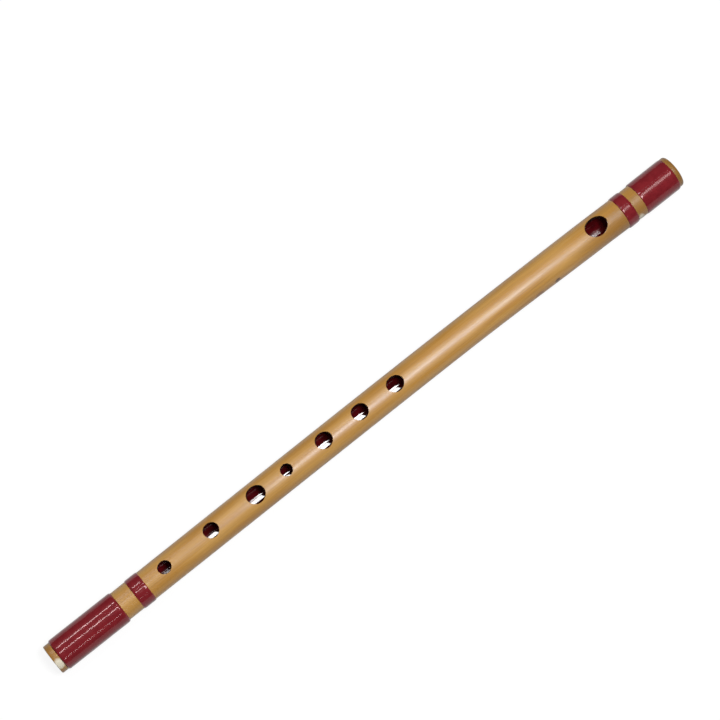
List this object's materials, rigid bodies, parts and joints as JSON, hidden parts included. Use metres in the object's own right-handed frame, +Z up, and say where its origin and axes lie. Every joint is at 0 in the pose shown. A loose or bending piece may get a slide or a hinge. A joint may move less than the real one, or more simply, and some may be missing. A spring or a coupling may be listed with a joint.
{
  "type": "shinobue",
  "caption": "Side-blown bamboo flute with an oval mouth hole, a row of finger holes, a lacquered bore and wine-red lacquered windings near both ends.",
  "frame": {"origin": "on the surface that the flute lies on, under the middle of its bounding box", "axes": "+X along the flute toward its head end, +Y to the left of a player's view along +X, +Z up through the holes"},
  "size_m": [0.44, 0.021, 0.0205],
  "materials": {
    "bamboo": "satin",
    "red_lacquer": "gloss",
    "bore_lacquer": "gloss",
    "cork": "matte",
    "plug_wood": "satin"
  },
  "bodies": {
    "root": {"bamboo_tube": "bamboo", "bore_lacquer": "bore_lacquer", "head_stopper": "cork", "head_end_plug": "plug_wood", "head_wrap": "red_lacquer", "head_band": "red_lacquer", "tail_band": "red_lacquer", "tail_wrap": "red_lacquer"}
  },
  "joints": []
}
